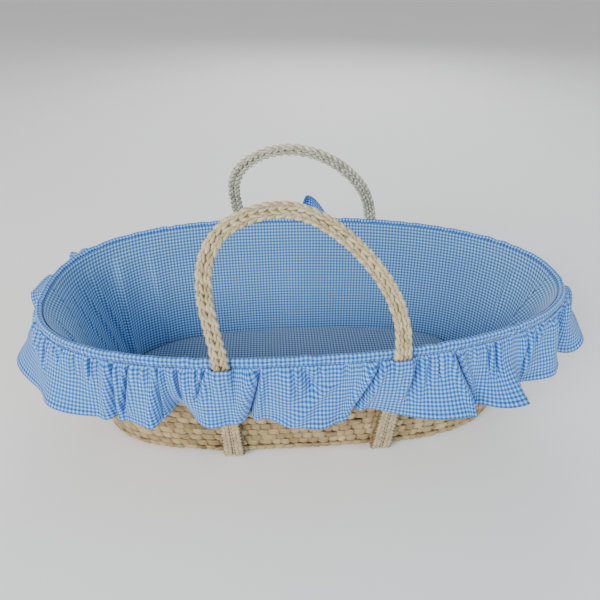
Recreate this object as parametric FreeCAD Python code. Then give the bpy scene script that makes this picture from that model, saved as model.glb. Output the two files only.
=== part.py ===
import FreeCAD, Part
import math
import os

os.makedirs("parts", exist_ok=True)
V = FreeCAD.Vector

# Moses basket. X runs along its length, Y across it, +Z up, in millimetres.
# It stands on its two rope straps at z = 0, with the origin under its middle.

# ---- driving dimensions of the basket ----
RIM_HALF_LENGTH = 430.0
RIM_HALF_WIDTH = 199.0
RIM_HEIGHT = 284.0
RIM_END_DROP = 9.0
RIM_SLOPE = 2.0
RIM_POWER_LEFT = 2.5
RIM_POWER_RIGHT = 2.17
RIM_EGG = 0.055
BASE_HALF_LENGTH = 360.0
BASE_HALF_WIDTH = 139.0
BASE_POWER = 3.1
BASE_SHIFT = -10.0
BASE_Z = 16.6

# ---- wall and liner layers, measured outward from the middle of the woven wall ----
WEAVE_HALF = 5.0
GAP = 0.3
STAKE_WIDTH = 7.0
STAKE_THICK = 2.6
STAKE_COUNT = 44
STAKE_CLEAR = 0.15
WADDING = 3.0
FABRIC = 1.2
BASE_THICK = 13.0
CORNER = 10.0
BAND_DROP = 13.0
RUFFLE_DROP = 110.0
RUFFLE_FLARE = 33.0
RUFFLE_THICK = 3.0
HEM_HEIGHT = 6.0

# ---- ropes ----
HANDLE_ROPE = 10.2
HANDLE_HALF_PITCH = 5.7
STRAP_ROPE = 16.0
STRAP_HALF_PITCH = 9.0
SEAM_CORD = 1.0
STRAP_BEND = 18.0
HINGE_Z = 292.0
STRAP_TOP_GAP = 17.5
TAPER_START = 0.10
TAPER_END = 0.90
STRAP_SEAM_TOP = 0.5
FLAT = 0.4

# Each handle's two legs (x of the pair's middle) and its lean inward from upright.
FRONT_LEGS = (-131.0, 115.0)
BACK_LEGS = (-122.0, 139.0)
FRONT_LEAN = 26.0
BACK_LEAN = 30.0
FRONT_STRAP_X = (-140.0, 121.0)
BACK_STRAP_X = (-124.0, 136.0)

# Corners of each handle's arch, as (distance along the hinge line, height up the leaning plane).
FRONT_ARCH = [(-131, 0), (-150, 104), (-128, 166), (-74, 192), (-14, 192),
              (46, 152), (94, 92), (113, 42), (115, 0)]
BACK_ARCH = [(-122, 0), (-126, 95), (-102, 152), (-52, 188), (2, 190),
             (58, 158), (104, 102), (128, 48), (139, 0)]

# ---- mattress ----
MATTRESS_HALF_LENGTH = 334.0
MATTRESS_HALF_WIDTH = 132.0
MATTRESS_POWER = 2.9
MATTRESS_THICK = 24.0
MATTRESS_ROUND = 7.0

RING_POINTS = 72
RUFFLE_POINTS = 240


# ---- outlines ----
def unit_radius(angle, power):
    """Radius of the unit superellipse in a direction."""
    return (abs(math.cos(angle)) ** power + abs(math.sin(angle)) ** power) ** (-1.0 / power)


def rim_point(angle):
    """A point of the egg-shaped rim, blunter at its left end."""
    blend = 0.5 + 0.5 * math.tanh(math.cos(angle) / 0.3)
    power = RIM_POWER_LEFT + (RIM_POWER_RIGHT - RIM_POWER_LEFT) * blend
    radius = unit_radius(angle, power)
    x = RIM_HALF_LENGTH * radius * math.cos(angle)
    y = RIM_HALF_WIDTH * radius * math.sin(angle) * (1.0 - RIM_EGG * x / RIM_HALF_LENGTH)
    return x, y


def base_point(angle):
    radius = unit_radius(angle, BASE_POWER)
    x = BASE_SHIFT + BASE_HALF_LENGTH * radius * math.cos(angle)
    return x, BASE_HALF_WIDTH * radius * math.sin(angle)


def rim_z(x):
    """Height of the rim, a little lower at the two ends."""
    along = x / RIM_HALF_LENGTH
    return RIM_HEIGHT - RIM_END_DROP * abs(along) ** 2.86 - RIM_SLOPE * along


def wall_xy(angle, level):
    """The wall's middle line: level 0 at the base, 1 at the rim."""
    bx, by = base_point(angle)
    rx, ry = rim_point(angle)
    return bx + level * (rx - bx), by + level * (ry - by)


def wall_point(angle, level, offset, z=None):
    """A point set off from the wall's middle line by offset, positive outward."""
    step = 0.002
    x0, y0 = wall_xy(angle - step, level)
    x1, y1 = wall_xy(angle + step, level)
    length = math.hypot(x1 - x0, y1 - y0)
    x, y = wall_xy(angle, level)
    if z is None:
        z = BASE_Z + level * (rim_z(rim_point(angle)[0]) - BASE_Z)
    return V(x + offset * (y1 - y0) / length, y - offset * (x1 - x0) / length, z)


def level_below_rim(depth):
    return 1.0 - depth / (RIM_HEIGHT - BASE_Z)


def angle_at(x, level, offset):
    """The direction, on the +Y side, where the wall's offset line passes x."""
    low, high = 0.0, math.pi
    for _ in range(60):
        middle = 0.5 * (low + high)
        if wall_point(middle, level, offset).x > x:
            low = middle
        else:
            high = middle
    return 0.5 * (low + high)


def side_point(x, level, offset, side):
    """The point at x on the front (side -1) or back (side 1) of the wall."""
    point = wall_point(angle_at(x, level, offset), level, offset)
    return V(point.x, side * point.y, point.z)


# ---- solids made of closed rings ----
def closed_edge(points):
    curve = Part.BSplineCurve()
    curve.interpolate(Points=points, PeriodicFlag=True)
    return curve.toShape()


def angles(count):
    return [2.0 * math.pi * i / count for i in range(count)]


def wall_ring(level, offset, z=None):
    return closed_edge([wall_point(a, level, offset, z) for a in angles(RING_POINTS)])


def oval_ring(half_length, half_width, power, z):
    points = []
    for a in angles(RING_POINTS):
        radius = unit_radius(a, power)
        points.append(V(BASE_SHIFT + half_length * radius * math.cos(a),
                        half_width * radius * math.sin(a), z))
    return closed_edge(points)


def solid_from(faces):
    shell = Part.makeShell(faces)
    shell.sewShape()
    solid = Part.makeSolid(shell)
    if solid.Volume < 0:
        solid.reverse()
    return solid


def hollow_ring(edges):
    """A ring-shaped solid whose cross-section has one ring at each corner."""
    faces = [Part.makeRuledSurface(edges[i - 1], edges[i]) for i in range(len(edges))]
    return solid_from(faces)


def stacked_plate(edges):
    """A solid plate from a stack of rings, closed flat at the bottom and top."""
    faces = [Part.makeRuledSurface(edges[i], edges[i + 1]) for i in range(len(edges) - 1)]
    faces.append(Part.Face(Part.Wire(edges[0])))
    faces.append(Part.Face(Part.Wire(edges[-1])))
    return solid_from(faces)


# ---- ropes ----
def corner_radii(points):
    """The largest tangent arc that fits each corner of a route."""
    radii = []
    for i in range(1, len(points) - 1):
        before = points[i] - points[i - 1]
        after = points[i + 1] - points[i]
        turn = before.getAngle(after)
        radii.append(0.45 * min(before.Length, after.Length) / math.tan(0.5 * turn))
    return radii


def rope_path(points, radii):
    """Straight runs joined by tangent arcs."""
    edges = []
    start = points[0]
    for i in range(1, len(points) - 1):
        before = (points[i] - points[i - 1]).normalize()
        after = (points[i + 1] - points[i]).normalize()
        half_turn = 0.5 * before.getAngle(after)
        reach = radii[i - 1] * math.tan(half_turn)
        first = points[i] - before * reach
        last = points[i] + after * reach
        toward = (after - before).normalize()
        middle = points[i] + toward * radii[i - 1] * (1.0 / math.cos(half_turn) - 1.0)
        edges.append(Part.LineSegment(start, first).toShape())
        edges.append(Part.Arc(first, middle, last).toShape())
        start = last
    edges.append(Part.LineSegment(start, points[-1]).toShape())
    return Part.Wire(edges)


def tube(path, start, direction, diameter):
    profile = Part.Wire(Part.makeCircle(0.5 * diameter, start, direction))
    return path.makePipeShell([profile], True, False)


def rope(points, radii, diameter, name):
    path = rope_path(points, radii)
    solid = tube(path, points[0], points[1] - points[0], diameter)
    expected = math.pi * 0.25 * diameter ** 2 * path.Length
    print(name, "length", round(path.Length), "volume ratio", round(solid.Volume / expected, 4),
          "radii", [round(r) for r in radii])
    return solid


def save(shape, node):
    if not shape.isValid() or shape.Volume <= 0:
        print("PROBLEM", node, shape.isValid(), shape.Volume)
    shape.exportStep("parts/" + node + ".step")


# ---- woven basket ----
def make_base():
    level_top = BASE_THICK / (RIM_HEIGHT - BASE_Z)
    inset = -WEAVE_HALF - GAP
    save(stacked_plate([wall_ring(0.0, inset, BASE_Z),
                        wall_ring(level_top, inset, BASE_Z + BASE_THICK)]), "woven_base")


def stake_box(angle, clearance):
    """One upright splint, or the pocket it stands in."""
    bottom = wall_point(angle, level_below_rim(RIM_HEIGHT - BASE_Z - 12.0), 0.0)
    top = wall_point(angle, level_below_rim(10.0 - 6.0 * (clearance > 0)), 0.0)
    ahead = wall_point(angle + 0.01, 0.5, 0.0) - wall_point(angle - 0.01, 0.5, 0.0)
    up = (top - bottom).normalize()
    along = (ahead - up * ahead.dot(up)).normalize()
    across = up.cross(along)
    width = STAKE_WIDTH + 2.0 * clearance
    thick = STAKE_THICK + 2.0 * clearance
    box = Part.makeBox(width, thick, (top - bottom).Length + clearance)
    corner = bottom - along * (0.5 * width) - across * (0.5 * thick) - up * clearance
    turn = FreeCAD.Matrix(along.x, across.x, up.x, corner.x,
                          along.y, across.y, up.y, corner.y,
                          along.z, across.z, up.z, corner.z,
                          0, 0, 0, 1)
    return box.transformGeometry(turn)


def stake_angles():
    """Directions that space the stakes evenly along the rim."""
    samples = [wall_xy(a, 0.5) for a in angles(720)]
    lengths = [0.0]
    for i in range(720):
        x0, y0 = samples[i]
        x1, y1 = samples[(i + 1) % 720]
        lengths.append(lengths[-1] + math.hypot(x1 - x0, y1 - y0))
    found = []
    index = 0
    for k in range(STAKE_COUNT):
        target = lengths[-1] * (k + 0.5) / STAKE_COUNT
        while lengths[index + 1] < target:
            index += 1
        found.append(2.0 * math.pi * index / 720)
    return found


def make_wall():
    rounded = 0.5 * CORNER / (RIM_HEIGHT - BASE_Z)
    top = level_below_rim(9.0)
    wall = hollow_ring([wall_ring(0.0, -WEAVE_HALF, BASE_Z),
                        wall_ring(0.0, -1.5, BASE_Z),
                        wall_ring(rounded, 3.0, BASE_Z + 0.3 * CORNER),
                        wall_ring(2.0 * rounded, WEAVE_HALF, BASE_Z + CORNER),
                        wall_ring(top, WEAVE_HALF),
                        wall_ring(top, -WEAVE_HALF)])
    places = stake_angles()
    wall = wall.cut(Part.makeCompound([stake_box(a, STAKE_CLEAR) for a in places]))
    save(wall.Solids[0], "side_weave")
    save(Part.makeCompound([stake_box(a, 0.0) for a in places]), "side_stakes")


def make_border():
    """The border on top of the wall, six-sided with its long sides upright."""
    save(hollow_ring([wall_ring(level_below_rim(8.6), -3.0),
                      wall_ring(level_below_rim(8.6), 3.0),
                      wall_ring(level_below_rim(6.0), WEAVE_HALF),
                      wall_ring(level_below_rim(3.4), WEAVE_HALF),
                      wall_ring(level_below_rim(1.8), 2.5),
                      wall_ring(level_below_rim(1.8), -2.5),
                      wall_ring(level_below_rim(3.4), -WEAVE_HALF),
                      wall_ring(level_below_rim(6.0), -WEAVE_HALF)]), "rim_border")


# ---- liner ----
WADDING_OUT = -WEAVE_HALF - GAP
WADDING_IN = WADDING_OUT - WADDING
PANEL_OUT = WADDING_IN - GAP
PANEL_IN = PANEL_OUT - FABRIC
BAND_IN = WEAVE_HALF + GAP
BAND_OUT = BAND_IN + FABRIC
FLOOR_TOP = BASE_Z + BASE_THICK + GAP + 3.0
FLOOR_LEVEL = (FLOOR_TOP - BASE_Z) / (RIM_HEIGHT - BASE_Z)


def make_liner():
    foot = FLOOR_LEVEL + 0.006
    save(hollow_ring([wall_ring(foot, WADDING_OUT),
                      wall_ring(level_below_rim(9.0), WADDING_OUT),
                      wall_ring(level_below_rim(9.0), WADDING_IN),
                      wall_ring(foot, WADDING_IN)]), "liner_wadding")
    save(hollow_ring([wall_ring(foot, PANEL_OUT),
                      wall_ring(level_below_rim(2.4), PANEL_OUT),
                      wall_ring(level_below_rim(2.4), PANEL_IN),
                      wall_ring(foot, PANEL_IN)]), "liner_side_panel")
    bottom = BASE_Z + BASE_THICK + GAP
    save(stacked_plate([wall_ring(FLOOR_LEVEL, WADDING_OUT, bottom),
                        wall_ring(FLOOR_LEVEL, WADDING_OUT, FLOOR_TOP)]), "liner_floor")


def make_band():
    """The band: down the outside of the rim and over its top."""
    hem = level_below_rim(BAND_DROP)
    save(hollow_ring([wall_ring(hem, BAND_IN),
                      wall_ring(hem, BAND_OUT),
                      wall_ring(level_below_rim(2.0), BAND_OUT),
                      wall_ring(1.0, BAND_OUT - 3.0),
                      wall_ring(1.0, PANEL_IN + 2.5),
                      wall_ring(level_below_rim(2.1), PANEL_IN),
                      wall_ring(level_below_rim(2.1), PANEL_OUT),
                      wall_ring(level_below_rim(1.5), PANEL_IN + 3.5),
                      wall_ring(level_below_rim(1.5), BAND_IN - 3.0),
                      wall_ring(level_below_rim(3.0), BAND_IN)]), "rim_band")
    save(hollow_ring([wall_ring(level_below_rim(BAND_DROP + 0.3), BAND_IN),
                      wall_ring(level_below_rim(BAND_DROP + 0.3), BAND_IN + 1.0),
                      wall_ring(level_below_rim(BAND_DROP + 3.8), BAND_IN + 1.0),
                      wall_ring(level_below_rim(BAND_DROP + 3.8), BAND_IN)]), "rim_elastic")


def slot_swell(point, legs):
    """How far the ruffle stands out beside a rope leg, 1 at its middle."""
    nearest = min(abs(point.x - leg) for leg in legs)
    return math.exp(-(nearest / 24.0) ** 4)


def ruffle_ring(depth, offset, swell):
    points = []
    level = level_below_rim(BAND_DROP)
    for a in angles(RUFFLE_POINTS):
        seam = wall_point(a, level, 0.0)
        legs = FRONT_LEGS if seam.y < 0 else BACK_LEGS
        if abs(seam.y) < 50.0:
            legs = (1.0e4,)
        out = offset + swell * slot_swell(seam, legs)
        point = wall_point(a, 1.0, out)
        points.append(V(point.x, point.y, point.z - depth))
    return closed_edge(points)


def make_ruffle():
    """The gathered skirt: fixed under the band, flaring out to its hem."""
    fall = RUFFLE_DROP - BAND_DROP
    hem_share = (fall - HEM_HEIGHT) / fall
    hem_offset = BAND_OUT + hem_share * RUFFLE_FLARE
    top_in = BAND_OUT - 3.0
    swell = 15.0
    top = BAND_DROP + 4.1
    save(hollow_ring([ruffle_ring(top, top_in + 2.5, swell),
                      ruffle_ring(top, top_in + 2.5 + RUFFLE_THICK, swell),
                      ruffle_ring(RUFFLE_DROP - HEM_HEIGHT, hem_offset, 0.0),
                      ruffle_ring(RUFFLE_DROP - HEM_HEIGHT, hem_offset - RUFFLE_THICK, 0.0)]),
         "ruffle")
    tip = BAND_OUT + RUFFLE_FLARE
    save(hollow_ring([ruffle_ring(RUFFLE_DROP - HEM_HEIGHT + 0.1, hem_offset - RUFFLE_THICK, 0.0),
                      ruffle_ring(RUFFLE_DROP - HEM_HEIGHT + 0.1, hem_offset, 0.0),
                      ruffle_ring(RUFFLE_DROP, tip, 0.0),
                      ruffle_ring(RUFFLE_DROP, tip - RUFFLE_THICK, 0.0)]), "ruffle_hem")


# ---- straps ----
def strap_leg(end_x, bottom_x, side, spread_top, spread_bottom):
    """Top and bottom corner of a rope's run down one side of the wall."""
    top = side_point(end_x + spread_top, 1.0, BAND_OUT + GAP + 0.5 * HANDLE_ROPE, side)
    foot = side_point(bottom_x + spread_bottom, 0.0, WEAVE_HALF + 0.6 + 0.5 * STRAP_ROPE, side)
    bottom = V(foot.x, foot.y, 0.5 * STRAP_ROPE - FLAT)
    rise = HINGE_Z - STRAP_TOP_GAP
    share = (rise - bottom.z) / (top.z - bottom.z)
    return bottom + (top - bottom) * share, bottom


def taper(start, end, top):
    """The upper stretch of a strap rope, thinning to the handle's rope, with a round end."""
    up = (top - start).normalize()
    cone = Part.makeCone(0.5 * STRAP_ROPE, 0.5 * HANDLE_ROPE, (end - start).Length, start, up)
    rod = Part.makeCylinder(0.5 * HANDLE_ROPE, (top - end).Length, end, up)
    cap = Part.makeSphere(0.5 * HANDLE_ROPE, top)
    return cone.fuse([rod, cap])


def strap_rope(front_x, back_x, front_foot, back_foot, spread, name):
    narrow = HANDLE_HALF_PITCH * spread
    wide = STRAP_HALF_PITCH * spread
    front_top, front_bottom = strap_leg(front_x, front_foot, -1, narrow, wide)
    back_top, back_bottom = strap_leg(back_x, back_foot, 1, narrow, wide)
    front_start = front_bottom + (front_top - front_bottom) * TAPER_START
    back_start = back_bottom + (back_top - back_bottom) * TAPER_START
    radii = [STRAP_BEND, STRAP_BEND]
    solid = rope([front_start, front_bottom, back_bottom, back_start], radii, STRAP_ROPE, name)
    front_end = front_bottom + (front_top - front_bottom) * TAPER_END
    back_end = back_bottom + (back_top - back_bottom) * TAPER_END
    solid = solid.fuse([taper(front_start, front_end, front_top),
                        taper(back_start, back_end, back_top)]).removeSplitter()
    floor_cut = Part.makeBox(60.0, 400.0, 10.0, V(front_bottom.x - 30.0, -200.0, -10.0))
    solid = solid.cut(floor_cut)
    save(solid.Solids[0], name)


def strap_seam(front_x, back_x, front_foot, back_foot, name):
    front_top, front_bottom = strap_leg(front_x, front_foot, -1, 0.0, 0.0)
    back_top, back_bottom = strap_leg(back_x, back_foot, 1, 0.0, 0.0)
    front_start = front_bottom + (front_top - front_bottom) * STRAP_SEAM_TOP
    back_start = back_bottom + (back_top - back_bottom) * STRAP_SEAM_TOP
    radii = [STRAP_BEND, STRAP_BEND]
    save(rope([front_start, front_bottom, back_bottom, back_start], radii, SEAM_CORD, name), name)


def strap_tie(x, level, side):
    """A stitch round a rope pair: a flat staple with its two feet against the wall."""
    half = STRAP_HALF_PITCH + 0.5 * STRAP_ROPE + 1.0
    depth = STRAP_ROPE + 2.0
    width = 2.0
    outer = Part.makeBox(2.0 * (half + width), depth + width, 6.0, V(-half - width, 0.0, -3.0))
    inner = Part.makeBox(2.0 * half, depth, 8.0, V(-half, -0.5, -4.0))
    staple = outer.cut(inner)
    foot = side_point(x, level, WEAVE_HALF + 3.0, side)
    rim = side_point(x, level + 0.01, WEAVE_HALF + 3.0, side)
    lean = math.degrees(math.atan2(abs(rim.y - foot.y), rim.z - foot.z))
    staple.rotate(V(0, 0, 0), V(1, 0, 0), -lean)
    if side < 0:
        staple.rotate(V(0, 0, 0), V(0, 0, 1), 180.0)
    staple.translate(foot)
    return staple


def make_straps():
    ties = []
    for i, hand in enumerate(("left", "right")):
        ends = (FRONT_LEGS[i], BACK_LEGS[i], FRONT_STRAP_X[i], BACK_STRAP_X[i])
        away = -1.0 if hand == "left" else 1.0
        strap_rope(*ends, away, "strap_" + hand + "_outer_rope")
        strap_rope(*ends, -away, "strap_" + hand + "_inner_rope")
        strap_seam(*ends, "strap_" + hand + "_seam_cord")
        level = 0.66
        ties.append(strap_tie(ends[2] + level * (ends[0] - ends[2]), level, -1))
        ties.append(strap_tie(ends[3] + level * (ends[1] - ends[3]), level, 1))
    save(Part.makeCompound(ties), "strap_ties")


# ---- handles ----
def offset_route(corners, distance):
    """A flat route moved sideways, to the left of its direction when positive."""
    moved = []
    last = len(corners) - 1
    for i, (x, y) in enumerate(corners):
        normals = []
        for j in (max(i - 1, 0), min(i, last - 1)):
            dx = corners[j + 1][0] - corners[j][0]
            dy = corners[j + 1][1] - corners[j][1]
            length = math.hypot(dx, dy)
            normals.append((-dy / length, dx / length))
        (ax, ay), (bx, by) = normals
        scale = distance / (1.0 + ax * bx + ay * by)
        moved.append((x + (ax + bx) * scale, y + (ay + by) * scale))
    return moved


def handle_frame(legs, lean, side):
    """Origin and the two directions of a handle's leaning plane."""
    reach = BAND_OUT + GAP + 0.5 * HANDLE_ROPE
    left = side_point(legs[0], 1.0, reach, side)
    right = side_point(legs[1], 1.0, reach, side)
    along = V(right.x - left.x, right.y - left.y, 0.0).normalize()
    start = V(left.x, left.y, HINGE_Z) - along * left.x / along.x
    inward = V(0, 0, 1).cross(along) * (-side)
    tilt = math.radians(lean)
    up = inward * math.sin(tilt) + V(0, 0, 1) * math.cos(tilt)
    return start, along, up


def handle_piece(corners, shift, radii, place, diameter, node):
    start, along, up = place
    flat = offset_route(corners, shift)
    points = [start + along * x + up * y for x, y in flat]
    shifted = [r + shift for r in radii]
    solid = rope(points, shifted, diameter, node)
    save(solid, node)


def make_handle(name, corners, legs, lean, side):
    place = handle_frame(legs, lean, side)
    print(name, "hinge from", place[0] + place[1] * legs[0], "axis", place[1])
    radii = corner_radii([V(x, y, 0) for x, y in corners])
    handle_piece(corners, HANDLE_HALF_PITCH, radii, place, HANDLE_ROPE, name + "_outer_rope")
    handle_piece(corners, -HANDLE_HALF_PITCH, radii, place, HANDLE_ROPE, name + "_inner_rope")
    handle_piece(corners, 0.0, radii, place, SEAM_CORD, name + "_seam_cord")


# ---- mattress ----
def mattress_ring(inset, z):
    return oval_ring(MATTRESS_HALF_LENGTH - inset, MATTRESS_HALF_WIDTH - inset, MATTRESS_POWER, z)


def make_mattress():
    bottom = FLOOR_TOP + GAP
    top = bottom + MATTRESS_THICK
    edge = MATTRESS_ROUND
    shell = 1.2
    save(stacked_plate([mattress_ring(shell + 3.0, bottom),
                        mattress_ring(shell + 0.2, bottom + 3.0),
                        mattress_ring(shell + 0.2, top - edge),
                        mattress_ring(shell + 0.3 * edge, top - 0.3 * edge - shell),
                        mattress_ring(shell + edge, top - shell - 0.2)]), "mattress_core")
    outside = stacked_plate([mattress_ring(0.0, bottom + 1.0),
                             mattress_ring(0.0, top - edge),
                             mattress_ring(0.3 * edge, top - 0.3 * edge),
                             mattress_ring(edge, top)])
    inside = stacked_plate([mattress_ring(shell, bottom),
                            mattress_ring(shell, top - edge),
                            mattress_ring(shell + 0.3 * edge, top - 0.3 * edge - 0.8 * shell),
                            mattress_ring(shell + edge, top - shell)])
    save(outside.cut(inside), "mattress_sheet")


make_base()
make_wall()
make_border()
make_liner()
make_band()
make_ruffle()
make_straps()
make_handle("handle_front", FRONT_ARCH, FRONT_LEGS, FRONT_LEAN, -1)
make_handle("handle_back", BACK_ARCH, BACK_LEGS, BACK_LEAN, 1)
make_mattress()
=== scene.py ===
import math

import bmesh
import bpy
import numpy as np
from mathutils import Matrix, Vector


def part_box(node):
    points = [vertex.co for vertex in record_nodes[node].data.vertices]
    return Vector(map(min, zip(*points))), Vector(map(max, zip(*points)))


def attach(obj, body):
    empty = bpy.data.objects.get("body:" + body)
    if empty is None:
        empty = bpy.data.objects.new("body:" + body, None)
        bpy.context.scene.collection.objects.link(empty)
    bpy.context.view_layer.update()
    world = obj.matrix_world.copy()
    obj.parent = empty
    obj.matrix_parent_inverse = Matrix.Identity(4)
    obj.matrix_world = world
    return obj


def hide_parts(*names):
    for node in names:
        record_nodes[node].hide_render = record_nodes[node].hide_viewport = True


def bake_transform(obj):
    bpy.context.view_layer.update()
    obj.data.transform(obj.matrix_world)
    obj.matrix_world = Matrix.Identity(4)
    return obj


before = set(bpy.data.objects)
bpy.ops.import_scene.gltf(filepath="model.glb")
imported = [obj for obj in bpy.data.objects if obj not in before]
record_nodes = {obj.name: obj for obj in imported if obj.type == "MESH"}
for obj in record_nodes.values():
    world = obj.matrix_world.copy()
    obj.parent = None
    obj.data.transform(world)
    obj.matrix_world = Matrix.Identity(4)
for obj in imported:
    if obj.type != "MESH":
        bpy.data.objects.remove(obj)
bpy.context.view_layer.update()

# Metres throughout. X along the basket, Y across it (front is -Y), Z up.

# ---- the basket's outline, as in the CAD part ----
RIM_HALF_LENGTH = 0.430
RIM_HALF_WIDTH = 0.199
RIM_HEIGHT = 0.284
RIM_END_DROP = 0.009
RIM_SLOPE = 0.002
RIM_POWER_LEFT = 2.5
RIM_POWER_RIGHT = 2.17
RIM_EGG = 0.055
BASE_HALF_LENGTH = 0.360
BASE_HALF_WIDTH = 0.139
BASE_POWER = 3.1
BASE_SHIFT = -0.010
BASE_Z = 0.0166
FRONT_LEGS = (-0.131, 0.115)
BACK_LEGS = (-0.122, 0.139)
FRONT_STRAP_X = (-0.1355, 0.121)
BACK_STRAP_X = (-0.124, 0.136)
HINGE_Z = 0.292
HANDLE_REACH = 0.0119

# ---- gingham ----
REPEAT = 0.0061


# ================= outline helpers (angles in radians, arrays allowed) =================
def unit_radius(a, power):
    return (np.abs(np.cos(a)) ** power + np.abs(np.sin(a)) ** power) ** (-1.0 / power)


def rim_xy(a):
    share = 0.5 + 0.5 * np.tanh(np.cos(a) / 0.3)
    power = RIM_POWER_LEFT + (RIM_POWER_RIGHT - RIM_POWER_LEFT) * share
    r = unit_radius(a, power)
    x = RIM_HALF_LENGTH * r * np.cos(a)
    y = RIM_HALF_WIDTH * r * np.sin(a) * (1.0 - RIM_EGG * x / RIM_HALF_LENGTH)
    return x, y


def base_xy(a):
    r = unit_radius(a, BASE_POWER)
    return BASE_SHIFT + BASE_HALF_LENGTH * r * np.cos(a), BASE_HALF_WIDTH * r * np.sin(a)


def rim_z(x):
    along = x / RIM_HALF_LENGTH
    return RIM_HEIGHT - RIM_END_DROP * np.abs(along) ** 2.86 - RIM_SLOPE * along


def wall_xy(a, level):
    bx, by = base_xy(a)
    rx, ry = rim_xy(a)
    return bx + level * (rx - bx), by + level * (ry - by)


def wall_normal(a, level):
    """The level outward normal of the wall's outline."""
    x0, y0 = wall_xy(a - 0.002, level)
    x1, y1 = wall_xy(a + 0.002, level)
    length = np.hypot(x1 - x0, y1 - y0)
    return (y1 - y0) / length, -(x1 - x0) / length


def wall_points(a, level, offset):
    """Points set off outward from the middle of the woven wall; level 0 at the base, 1 at the rim."""
    a, level, offset = np.broadcast_arrays(a, level, offset)
    x, y = wall_xy(a, level)
    nx, ny = wall_normal(a, level)
    z = BASE_Z + level * (rim_z(rim_xy(a)[0]) - BASE_Z)
    return np.stack([x + offset * nx, y + offset * ny, z], -1)


def rim_points(a, offset, drop):
    """Points set off outward from the rim's middle line and dropped below it."""
    a, offset, drop = np.broadcast_arrays(a, offset, drop)
    x, y = rim_xy(a)
    nx, ny = wall_normal(a, np.ones_like(a))
    return np.stack([x + offset * nx, y + offset * ny, rim_z(x) - drop], -1)


def level_below_rim(depth):
    return 1.0 - depth / (RIM_HEIGHT - BASE_Z)


def even_angles(count, level=1.0, start=-math.pi):
    """Directions that space count points evenly round the outline."""
    a = np.linspace(start, start + 2 * math.pi, 2881)
    x, y = wall_xy(a, level)
    s = np.concatenate([[0], np.cumsum(np.hypot(np.diff(x), np.diff(y)))])
    return np.interp(np.arange(count) / count * s[-1], s, a)


def angle_at_x(x, level, side):
    """The direction on the front (side -1) or back (side 1) where the outline passes x."""
    a = np.linspace(0.02, math.pi - 0.02, 2000)
    xs = wall_xy(a, level)[0]
    return side * float(np.interp(-x, -xs, a))


def wobble(s, period, seed, waves=6, low=1, high=9):
    """Smooth closed noise of about unit size along a ring of that period."""
    rng = np.random.default_rng(seed)
    total = np.zeros_like(s, dtype=float)
    for n in rng.integers(low, high + 1, waves):
        total += np.sin(2 * math.pi * n * s / period + rng.uniform(0, 2 * math.pi))
    return total / math.sqrt(waves / 2)


# ================= mesh helpers =================
def grid(points, uv, wrap_rows=False, wrap_cols=False, shade=None, caps=False):
    """A sheet of quads. uv has one more row or column than points where that way wraps."""
    return {"p": points, "uv": uv, "wr": wrap_rows, "wc": wrap_cols, "shade": shade, "caps": caps}


def mesh_object(name, grids):
    verts, loops, starts, uvs, shades = [], [], [], [], []
    base, loop_count = 0, 0
    for g in grids:
        p = g["p"]
        rows, cols = p.shape[:2]
        index = np.arange(rows * cols).reshape(rows, cols) + base
        if g["wc"]:
            index = np.concatenate([index, index[:, :1]], 1)
        if g["wr"]:
            index = np.concatenate([index, index[:1]], 0)
        quads = np.stack([index[:-1, :-1], index[:-1, 1:], index[1:, 1:], index[1:, :-1]], -1)
        u = g["uv"]
        corner = np.stack([u[:-1, :-1], u[:-1, 1:], u[1:, 1:], u[1:, :-1]], -2)
        verts.append(p.reshape(-1, 3))
        loops.append(quads.reshape(-1))
        uvs.append(corner.reshape(-1, 2))
        n = quads.shape[0] * quads.shape[1]
        starts.append(loop_count + 4 * np.arange(n))
        loop_count += 4 * n
        if g["caps"]:
            for row in (index[0, :cols][::-1], index[-1, :cols]):
                loops.append(row)
                uvs.append(np.repeat(u[:1, 0], cols, 0))
                starts.append(np.array([loop_count]))
                loop_count += cols
        shade = g["shade"] if g["shade"] is not None else 0.5
        shades.append(np.broadcast_to(shade, (rows, cols)).reshape(-1))
        base += rows * cols
    verts, loops, starts = np.concatenate(verts), np.concatenate(loops), np.concatenate(starts)
    mesh = bpy.data.meshes.new(name)
    mesh.vertices.add(len(verts))
    mesh.vertices.foreach_set("co", verts.astype(np.float32).ravel())
    mesh.loops.add(len(loops))
    mesh.loops.foreach_set("vertex_index", loops.astype(np.int32))
    mesh.polygons.add(len(starts))
    mesh.polygons.foreach_set("loop_start", starts.astype(np.int32))
    mesh.update(calc_edges=True)
    layer = mesh.uv_layers.new(name="UVMap")
    layer.data.foreach_set("uv", np.concatenate(uvs).astype(np.float32).ravel())
    attribute = mesh.attributes.new("shade", "FLOAT", "POINT")
    attribute.data.foreach_set("value", np.concatenate(shades).astype(np.float32))
    mesh.polygons.foreach_set("use_smooth", np.full(len(starts), True))
    mesh.validate()
    mesh.update()
    obj = bpy.data.objects.new(name, mesh)
    bpy.context.scene.collection.objects.link(obj)
    return obj


def arc_length(points, closed=False):
    """Distance along a line of points; a closed line gets one more value, its whole length."""
    if closed:
        points = np.concatenate([points, points[:1]])
    return np.concatenate([[0], np.cumsum(np.linalg.norm(np.diff(points, axis=0), axis=1))])


def unit(v):
    return v / np.linalg.norm(v, axis=-1, keepdims=True)


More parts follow.
